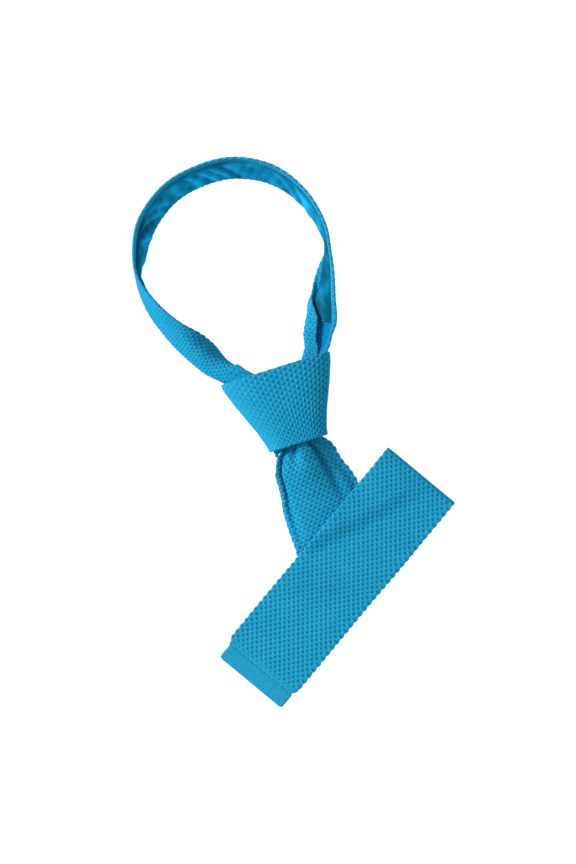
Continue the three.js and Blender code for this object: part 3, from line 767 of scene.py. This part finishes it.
def make_neck_band():
    """The knit band round the neck."""
    dense = np.linspace(0, len(BAND["up"]) - 1, 4001)
    length = lengths(band_line(dense))
    total = length[-1]
    at = np.linspace(0, total, int(total / BAND_ROW * STEPS_IN_STITCH))
    places = np.interp(at, length, dense)
    ring = Ring(BAND_WIDTH / 2, KNIT, *SECTION["neck_band"], knit_back=True)
    cols = ring.round / whole_columns(ring.girth, BAND_COLUMN)
    rows = at / BAND_ROW
    calm = hump(places[:, None], *BAND_CALM)
    share = 0.5 + ring.v / BAND_WIDTH
    inner = (ring.off < 0) & (share < LINING_TOP_SHARE + 0.02)
    lined = inner[None] & (share[None] > lining_foot(places[:, None]) + 0.01)
    along = (places > LINING_FIRST_PLACE) & (places < LINING_LAST_PLACE)
    calm = np.where(along[:, None] & lined, 1.0, calm)
    height, v, off = knit_offsets(ring, rows, cols, BAND_NET, calm, selvage=-0.2, scallop=0.3)
    points = Band(places).point(0.5 + v / BAND_WIDTH, off)
    # Painted shade in the hollow under the lip, on the band's back
    under_lip = ease((places[:, None] - LINING_LAST_PLACE + LIP_RAMP) / LIP_RAMP) * (ring.off < 0)
    shade = under_lip * np.where(lined, LIP_SHADE_LINED, LIP_SHADE_BARE)
    # Painted shade on the band's lower left
    shade = shade + hump(places[:, None], *BAND_SHADE)
    height = height * (1 - shade)
    return cloth("tie_neck_band", points, rows, cols, height, ring.ends()), total


def wrinkles(at, share, places):
    """Soft slanting wrinkles of the lining, in millimetres off its face."""
    slant = at / 16 + 1.3 * share + 0.7 * np.sin(at / 19) + 0.3 * np.sin(at / 8.3 + 4 * share)
    long = (0.5 + 0.5 * np.sin(2 * np.pi * slant)) * (0.6 + 0.4 * np.sin(at / 23 + 2) ** 2)
    short = 0.5 + 0.5 * np.sin(2 * np.pi * (at / 8.1 - 0.9 * share + 0.4 * np.sin(at / 13)))
    inside = ease((share - LINING_FOOT_SHARE) / 0.15) * ease((LINING_TOP_SHARE - share) / 0.1)
    crease = np.exp(-(((places[:, None] - CREASE_PLACE) * 17 + 11 * (share - 0.5)) ** 2) / 2)
    inside = inside * (1 - ease((places[:, None] - LINING_LAST_PLACE + 1.2) / 0.8))
    inside = inside * mix(1, 0.3, ease((places[:, None] - 12.5) / 3))
    return inside * (WRINKLE * long**2 + RIPPLE * short + CREASE * crease)


def make_neck_lining():
    """The satin lining on the band's inner face."""
    dense = np.linspace(LINING_FIRST_PLACE, LINING_LAST_PLACE, 3001)
    length = lengths(band_line(dense))
    total = length[-1]
    at = np.linspace(0, total, int(total / 0.6))
    places = np.interp(at, length, dense)
    wide = BAND_WIDTH * (LINING_TOP_SHARE - LINING_FOOT_SHARE)
    ring = Ring(wide / 2, LINING, *SECTION["neck_lining"])
    middle = (LINING_TOP_SHARE + LINING_FOOT_SHARE) / 2
    share = middle + ring.v[None] / BAND_WIDTH + 0 * at[:, None]
    narrow = lining_foot(places[:, None]) - LINING_FOOT_SHARE
    share = share + narrow * (LINING_TOP_SHARE - share) * BAND_WIDTH / wide
    face = (0.5 + ring.off / LINING)[None]
    fold = wrinkles(at[:, None], share, places)
    thick = mix(0.35, 1, ease((wide / 2 - np.abs(ring.v)) / 2.5))[None]
    off = -KNIT / 2 - LINING_GAP - (LINING / 2 + ring.off[None]) * thick - face * fold
    points = Band(places).point(share, off)
    # Painted shade at the lining's two ends
    shade = sum(much * ease((places - start) / reach) for much, start, reach in LINING_SHADES)
    # Painted highlight on the wrinkles' crests and painted shade in their hollows, less the
    # painted shade at the ends
    relief_and_shade = fold / WRINKLE_TONE - shade[:, None]
    piece = cloth("tie_neck_lining", points, at / 10, ring.round / 10, relief_and_shade, ring.ends())
    return piece, total, wide


def sleeve_length(share, first, last):
    """Length round the sleeve at a share, between two angles, at each degree."""
    angle = np.linspace(first, last, 721)
    return angle, lengths(sleeve_point(angle, share + 0 * angle, 0 * angle))


def make_knot_wrap():
    """The outer turn of the knot."""
    angles, length = sleeve_length(0.45, 90, 450)
    total = length[-1]
    stitches_round = 2 * round(total / KNOT_ROW / 2)
    count = stitches_round * 5
    at = np.arange(count) / count * total
    angle = np.interp(at, length, angles)[:, None]
    ring = Ring(KNOT_LENGTH / 2, KNIT, *SECTION["knot_wrap"])
    cols = ring.round / whole_columns(ring.girth, KNOT_COLUMN)
    rows = (1 - at / total) * stitches_round
    # The knot's left side is stretched smooth, and its holes' painted shade lightened as painted
    # light on the lit side
    start, end = (ease((angle - t) / reach) for t, reach in (KNOT_CALM_FROM, KNOT_CALM_TO))
    calm = KNOT_CALM * start * (1 - end)
    height, v, off = knit_offsets(ring, rows, cols, 0.0, calm, selvage=0.1, scallop=0.12)
    points = sleeve_point(angle + 0 * v, 0.5 + v / KNOT_LENGTH, KNIT / 2 - off)
    return cloth("tie_knot_wrap", points, rows, cols, height), total


def make_knot_under_wrap():
    """The inner turn of the knot."""
    first, last = UNDER_WRAP["angle"][0], UNDER_WRAP["angle"][-1]
    angles, length = sleeve_length(0.45, first, last)
    total = length[-1]
    at = np.linspace(0, total, int(total / 0.7))
    angle = np.interp(at, length, angles)[:, None]
    ring = Ring(KNOT_LENGTH / 2, KNIT, *SECTION["knot_under_wrap"])
    cols = ring.round / whole_columns(ring.girth, KNOT_COLUMN)
    rows = at / KNOT_ROW
    height, v, off = knit_offsets(ring, rows, cols, 0.0, selvage=0.0, scallop=0.2)
    top, foot = (read(UNDER_WRAP, n, angle, "angle") for n in ("top", "foot"))
    share = mix(top, foot, 0.5 + v / KNOT_LENGTH)
    # Painted shade on the nub at the under wrap's top edge
    height = height * (1 - NUB_SHADE * ease((0.02 - share) / 0.06))
    points = sleeve_point(angle + 0 * v, share, KNIT + TURN_GAP + KNIT / 2 - off)
    return cloth("tie_knot_under_wrap", points, rows, cols, height, ring.ends()), total


def blade_rows():
    """Rows across the wide end: a place along it and a slant each."""
    rows = []

    def run(start, end, slant_from, slant_to, bend, pitch=0.5):
        count = max(2, round((end - start) / pitch))
        s = np.arange(count) / count
        rows.append(np.stack([mix(start, end, s), mix(slant_from, slant_to, bend(s))], 1))

    after_first = FIRST_FALL + FIRST_TURN / FOLD_COS
    start = LAST_FOLD_AT + LAST_TURN
    end = CLOTH_END - HEM_LENGTH - HEM_SEAM
    run(-ROOT_INSIDE, FIRST_FALL, 0, FOLD_SLOPE, lambda s: ease((s - 0.25) / 0.75))
    run(FIRST_FALL, after_first, FOLD_SLOPE, FOLD_SLOPE, lambda s: s)
    run(after_first, LAST_FOLD_AT, FOLD_SLOPE, 0, ease, 1.2)
    run(LAST_FOLD_AT, start, 0, 0, lambda s: s)
    run(start, end, 0, 0, lambda s: s)
    rows.append(np.array([[end, 0.0]]))
    return np.vstack(rows)


def make_front_blade():
    """The wide end, with its two folds."""
    table = blade_rows()
    ring = Ring(BLADE_WIDTH / 2, KNIT, *SECTION["front_blade"])
    cols = ring.round / whole_columns(ring.girth, COLUMN)
    u = table[:, :1] + table[:, 1:] * ring.v[None]
    rows = u / ROW
    net = ease((u - LAST_FOLD_AT) / 10)
    to_hem = CLOTH_END - HEM_LENGTH - u
    fade = HEM_FADE * ease(1 - to_hem / HEM_FADE_LENGTH)
    height = mix(stitches(rows, cols[None], net), HEM_TONE, fade)
    v, off = raise_knit(ring, rows, height, SELVAGE, SCALLOP)
    v = v * (1 - HEM_DRAW * ease(1 - to_hem / HEM_DRAW_LENGTH))
    points = blade_point(FirstFall(), u, v, off)
    piece = cloth("tie_front_blade", points, table[:, 0] / ROW, cols, height, ring.ends())
    return piece, CLOTH_END - HEM_LENGTH + ROOT_INSIDE


def make_tip_hem():
    """The ribbed hem at the tip."""
    ribs = round(HEM_WIDTH / HEM_RIB_PITCH)
    rings = np.array([0, 0.04, 0.12, 0.3, 0.5, 0.7, 0.84, 0.9, 0.95, 0.98, 1])
    from_end = HEM_LENGTH * (1 - rings)
    ring = Ring(HEM_WIDTH / 2, KNIT, ribs * POINTS_IN_RIB + 1, 20)
    inset = np.maximum(0, CORNER_RADIUS - from_end)[:, None]
    cut = CORNER_RADIUS - np.sqrt(CORNER_RADIUS**2 - inset**2)
    scale = 1 - cut / (HEM_WIDTH / 2)
    rib = 0.5 - 0.5 * np.cos(2 * np.pi * ribs * (ring.v / HEM_WIDTH + 0.5))
    start = ease((HEM_LENGTH - from_end[:, None]) / 0.5 + 0.5)
    round_off = ease(from_end[:, None] / HEM_TIP_ROUND) * start
    height = mix(0.5, 0.9, rib[None]) * mix(0.8, 1, round_off)
    v = ring.v[None] * scale + (BLADE_WIDTH - HEM_WIDTH) / 4
    sunk = HEM_SUNK + HEM_END_SUNK * (1 - round_off) - HEM_FRONT_LIFT * (ring.no[None] > 0)
    proud = HEM_RIB_HEIGHT * height - sunk
    off = ring.off[None] + ring.no[None] * proud
    u = CLOTH_END - from_end[:, None] + 0 * v
    points = blade_point(FirstFall(), u, v, off)
    cols = ring.round / HEM_RIB_PITCH
    return cloth("tie_tip_hem", points, u[:, 0] / ROW, cols, height, ring.ends())


def make_tail():
    """The narrow end under the wide end."""
    ring = Ring(TAIL_WIDTH / 2, KNIT, *SECTION["tail"], knit_back=True)
    along = np.arange(-ROOT_INSIDE, TAIL_LENGTH + 0.1, ROW / 4)[:, None]
    cols = ring.round / whole_columns(ring.girth, COLUMN)
    rows = along[:, 0] / ROW
    height, v, off = knit_offsets(ring, rows, cols, 0.0, selvage=0.0, scallop=0.2)
    hold = 1 - ease((along - 1) / (TAIL_LENGTH * TAIL_HOLD_REACH))
    wide = mix(TAIL_WIDTH, min(TAIL_WIDTH, CLEAR * TAIL_HOLD), hold)
    over = first_middle(along) + v / TAIL_WIDTH * wide
    drop = 1 - ease((along - 1) / (TAIL_LENGTH * TAIL_DROP_REACH))
    z = KNIT / 2 + 2 * LAYER_STEP * drop + off
    points = on_surface(along + 0 * v, over, z)
    return cloth("tie_tail", points, rows, cols, height, ring.ends())


# Finishes


class Value:
    """A socket of a shader, with arithmetic that adds Math nodes."""

    def __init__(self, shader, socket):
        self.shader = shader
        self.socket = socket

    def math(self, operation, *values):
        """One Math node on these values."""
        return self.shader.value("ShaderNodeMath", {"operation": operation}, *values)

    def __add__(self, other):
        return self.math("ADD", self, other)

    def __mul__(self, other):
        return self.math("MULTIPLY", self, other)

    def __sub__(self, other):
        return self.math("SUBTRACT", self, other)

    def clamp(self):
        """Kept between 0 and 1."""
        return self.shader.value("ShaderNodeClamp", {}, self, 0.0, 1.0)


class Shader:
    """A material's node tree."""

    def __init__(self, name):
        self.material = bpy.data.materials.new(name)
        self.material.use_nodes = True
        self.tree = self.material.node_tree
        self.tree.nodes.clear()

    def node(self, kind, settings=None, **sockets):
        """Adds a node: its type, its settings, then values or links by socket name."""
        node = self.tree.nodes.new(kind)
        for name, value in (settings or {}).items():
            setattr(node, name, value)
        for name, value in sockets.items():
            self.feed(node.inputs[name.replace("_", " ")], value)
        return node

    def feed(self, socket, value):
        """Links or sets one socket."""
        if isinstance(value, Value):
            self.tree.links.new(value.socket, socket)
        else:
            socket.default_value = value

    def value(self, kind, settings, *values):
        """Adds a node with its sockets in order, and wraps its first output."""
        node = self.node(kind, settings)
        for socket, value in zip(node.inputs, values):
            self.feed(socket, value)
        return Value(self, node.outputs[0])

    def blend(self, factor, one, two):
        """Mixes two colours."""
        node = self.node("ShaderNodeMix", {"data_type": "RGBA"})
        for index, value in ((0, factor), (6, one), (7, two)):
            self.feed(node.inputs[index], value)
        return Value(self, node.outputs[2])

    def noise(self, vector, scale, detail):
        """Noise from 0 to 1."""
        node = self.node("ShaderNodeTexNoise", Vector=vector, Scale=scale, Detail=detail)
        return Value(self, node.outputs["Fac"])

    def finish(self, **sockets):
        """Closes the material with a Principled shader."""
        node = self.node("ShaderNodeBsdfPrincipled", **sockets)
        out = self.node("ShaderNodeOutputMaterial")
        self.tree.links.new(node.outputs[0], out.inputs[0])
        return self.material


def linear(colour):
    """A colour given as seen on screen, 0 to 255, as a shader wants it."""
    c = np.array(colour, float) / 255
    c = np.where(c <= 0.04045, c / 12.92, ((c + 0.055) / 1.055) ** 2.4)
    return (*c.tolist(), 1.0)


def knit_finish(name, hole_shade, loop):
    """Knitted silk: painted shade, dark between the loops, a soft sheen on them."""
    s = Shader(name)
    relief_and_shade = Value(s, s.node("ShaderNodeAttribute", {"attribute_name": "relief_and_shade"}).outputs["Fac"])
    place = Value(s, s.node("ShaderNodeTexCoord").outputs["Object"])
    soft = s.noise(place, SOFT_GRAIN, 3.0)
    fuzz = s.noise(place, FUZZ_GRAIN, 2.0)
    patch = s.noise(place, PATCH_GRAIN, 1.0)
    # The relief blends from the holes' painted shade to the loops' lighter yarn; the noises are
    # the yarn's own tone
    tone = relief_and_shade * 0.8 + (soft - 0.5) * 0.3 + (patch - 0.5) * 0.45 + (fuzz - 0.5) * 0.45 + 0.1
    colour = s.blend(tone.clamp(), linear(hole_shade), linear(loop))
    bump = s.node("ShaderNodeBump", Strength=0.35, Distance=0.0003, Height=fuzz)
    return s.finish(
        Base_Color=colour,
        Roughness=0.62,
        Normal=Value(s, bump.outputs[0]),
        Sheen_Weight=0.12,
        Sheen_Roughness=0.5,
        Sheen_Tint=SHEEN_TINT,
        Specular_IOR_Level=0.0,
    )


def satin_finish(name, dark, light):
    """Satin: painted highlight on the wrinkles and painted shade between them, with a broad sheen.
    """
    s = Shader(name)
    place = Value(s, s.node("ShaderNodeTexCoord").outputs["Object"])
    soft = s.noise(place, SATIN_GRAIN, 3.0)
    relief_and_shade = Value(s, s.node("ShaderNodeAttribute", {"attribute_name": "relief_and_shade"}).outputs["Fac"])
    tone = relief_and_shade * 0.85 + (soft - 0.5) + 0.24
    colour = s.blend(tone.clamp(), linear(dark), linear(light))
    bump = s.node("ShaderNodeBump", Strength=0.3, Distance=0.0006, Height=soft)
    return s.finish(
        Base_Color=colour,
        Metallic=0.25,
        Roughness=0.4,
        Normal=Value(s, bump.outputs[0]),
        Specular_IOR_Level=0.0,
        Specular_Tint=SATIN_TINT,
    )


def dress(piece, material, node):
    """Paints a piece, seats it on the frame and lets it stand for its CAD node."""
    piece.data.materials.append(material)
    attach(piece, "root")
    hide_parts(node)


# Settings and operators


class TieColours(bpy.types.PropertyGroup):
    """Colours of the yarn and of the lining."""

    loops: bpy.props.FloatVectorProperty(
        name="Loops",
        description="Knit where it stands proud",
        default=(47, 172, 211),
        min=0,
        max=255,
    )
    # Painted shade: the knit's colour down in its holes
    holes: bpy.props.FloatVectorProperty(
        name="Holes",
        description="Knit between its loops",
        default=(2, 112, 160),
        min=0,
        max=255,
    )
    lining: bpy.props.FloatVectorProperty(
        name="Lining", description="Satin lining", default=(27, 158, 205), min=0, max=255
    )


class TieStage(bpy.types.PropertyGroup):
    """Camera and light."""

    height: bpy.props.FloatProperty(
        name="Camera height", description="Above the surface", default=1.36, unit="LENGTH"
    )
    key: bpy.props.FloatProperty(name="Key light", description="Watts", default=25.0, unit="POWER")


class TIE_OT_neck_band(bpy.types.Operator):
    """Knit the band round the neck"""

    bl_idname = "tie.neck_band"
    bl_label = "Neck band"

    def execute(self, context):
        piece, length = make_neck_band()
        dress(piece, knit_material(context), "neck_band")
        return {"FINISHED"}


class TIE_OT_neck_lining(bpy.types.Operator):
    """Line the band with satin"""

    bl_idname = "tie.neck_lining"
    bl_label = "Neck lining"

    def execute(self, context):
        piece, length, wide = make_neck_lining()
        colour = np.array(context.scene.tie_colours.lining)
        # Shaded and lit copies of the lining's colour, for its painted shade and painted highlight
        satin = satin_finish("silk_satin", colour * 0.55, colour * 1.2)
        dress(piece, satin, "neck_lining")
        return {"FINISHED"}


class TIE_OT_knot_wrap(bpy.types.Operator):
    """Wrap the outer turn round the knot"""

    bl_idname = "tie.knot_wrap"
    bl_label = "Knot wrap"

    def execute(self, context):
        piece, length = make_knot_wrap()
        dress(piece, knit_material(context), "knot_wrap")
        return {"FINISHED"}


class TIE_OT_knot_under_wrap(bpy.types.Operator):
    """Wrap the inner turn of the knot"""

    bl_idname = "tie.knot_under_wrap"
    bl_label = "Knot under wrap"

    def execute(self, context):
        piece, length = make_knot_under_wrap()
        dress(piece, knit_material(context), "knot_under_wrap")
        return {"FINISHED"}


class TIE_OT_front_blade(bpy.types.Operator):
    """Fold the wide end"""

    bl_idname = "tie.front_blade"
    bl_label = "Wide end"

    def execute(self, context):
        piece, length = make_front_blade()
        dress(piece, knit_material(context), "front_blade")
        length * MM
        return {"FINISHED"}


class TIE_OT_tip_hem(bpy.types.Operator):
    """Rib the hem at the tip"""

    bl_idname = "tie.tip_hem"
    bl_label = "Tip hem"

    def execute(self, context):
        piece = make_tip_hem()
        dress(piece, knit_material(context), "tip_hem")
        return {"FINISHED"}


class TIE_OT_tail(bpy.types.Operator):
    """Lay the narrow end"""

    bl_idname = "tie.tail"
    bl_label = "Narrow end"

    def execute(self, context):
        piece = make_tail()
        dress(piece, knit_material(context), "tail")
        return {"FINISHED"}


class TIE_OT_stage(bpy.types.Operator):
    """Lay the white floor, the light and the camera"""

    bl_idname = "tie.stage"
    bl_label = "Stage"

    def execute(self, context):
        bpy.ops.object.select_all(action="DESELECT")
        bpy.ops.mesh.primitive_plane_add(size=FLOOR_SIZE, location=(0, 0, -FLOOR_DROP))
        floor = context.active_object
        floor.name = "floor"
        floor.data.materials.append(
            Shader("floor_white").finish(
                Base_Color=(FLOOR_TONE, FLOOR_TONE, FLOOR_TONE, 1),
                Roughness=0.9,
                Specular_IOR_Level=0.0,
                Emission_Color=(1, 1, 1, 1),
                Emission_Strength=FLOOR_GLOW,
            )
        )
        stage = context.scene.tie_stage
        world = context.scene.world or bpy.data.worlds.new("world")
        context.scene.world = world
        world.use_nodes = True
        back = world.node_tree.nodes.get("Background")
        back.inputs[0].default_value = (1, 1, 1, 1)
        back.inputs[1].default_value = WORLD_LIGHT
        self.light(context, "key", KEY_PLACE, KEY_SIZE, stage.key)
        camera = bpy.data.cameras.new("camera")
        camera.lens = EYE_LENS
        camera.sensor_width = EYE_SENSOR
        eye = bpy.data.objects.new("camera", camera)
        eye.location = (*EYE_PLACE, stage.height)
        context.scene.collection.objects.link(eye)
        context.scene.camera = eye
        context.scene.view_settings.view_transform = "Standard"
        return {"FINISHED"}

    @staticmethod
    def light(context, name, place, size, power):
        """An area light that looks at the middle of the tie."""
        lamp = bpy.data.lights.new(name, "AREA")
        lamp.size = size
        lamp.energy = power
        holder = bpy.data.objects.new(name, lamp)
        holder.location = place
        way = -np.array(place)
        holder.rotation_euler = (
            math.atan2(math.hypot(way[0], way[1]), -way[2]),
            0,
            math.atan2(way[1], way[0]) - math.pi / 2,
        )
        context.scene.collection.objects.link(holder)


def knit_material(context):
    """The knit finish, made once."""
    found = bpy.data.materials.get("silk_knit")
    colours = context.scene.tie_colours
    return found or knit_finish("silk_knit", tuple(colours.holes), tuple(colours.loops))


PIECES = (
    TIE_OT_neck_band,
    TIE_OT_neck_lining,
    TIE_OT_knot_under_wrap,
    TIE_OT_knot_wrap,
    TIE_OT_tail,
    TIE_OT_tip_hem,
    TIE_OT_front_blade,
    TIE_OT_stage,
)


class TIE_PT_panel(bpy.types.Panel):
    """Lists the pieces of the tie"""

    bl_idname = "TIE_PT_panel"
    bl_label = "Knit tie"
    bl_space_type = "VIEW_3D"
    bl_region_type = "UI"
    bl_category = "Tie"

    def draw(self, context):
        for group in (context.scene.tie_colours, context.scene.tie_stage):
            for name in group.__annotations__:
                self.layout.prop(group, name)
        for piece in PIECES:
            self.layout.operator(piece.bl_idname)


CLASSES = (TieColours, TieStage, *PIECES, TIE_PT_panel)


def register():
    """Registers the tie's classes and settings."""
    for item in CLASSES:
        bpy.utils.register_class(item)
    bpy.types.Scene.tie_colours = bpy.props.PointerProperty(type=TieColours)
    bpy.types.Scene.tie_stage = bpy.props.PointerProperty(type=TieStage)


def unregister():
    """Takes them away again."""
    del bpy.types.Scene.tie_stage
    del bpy.types.Scene.tie_colours
    for item in reversed(CLASSES):
        bpy.utils.unregister_class(item)


def main():
    """Makes the tie and its stage."""
    register()
    for piece in PIECES:
        getattr(bpy.ops.tie, piece.bl_idname.split(".")[1])()


if __name__ == "__main__":
    main()
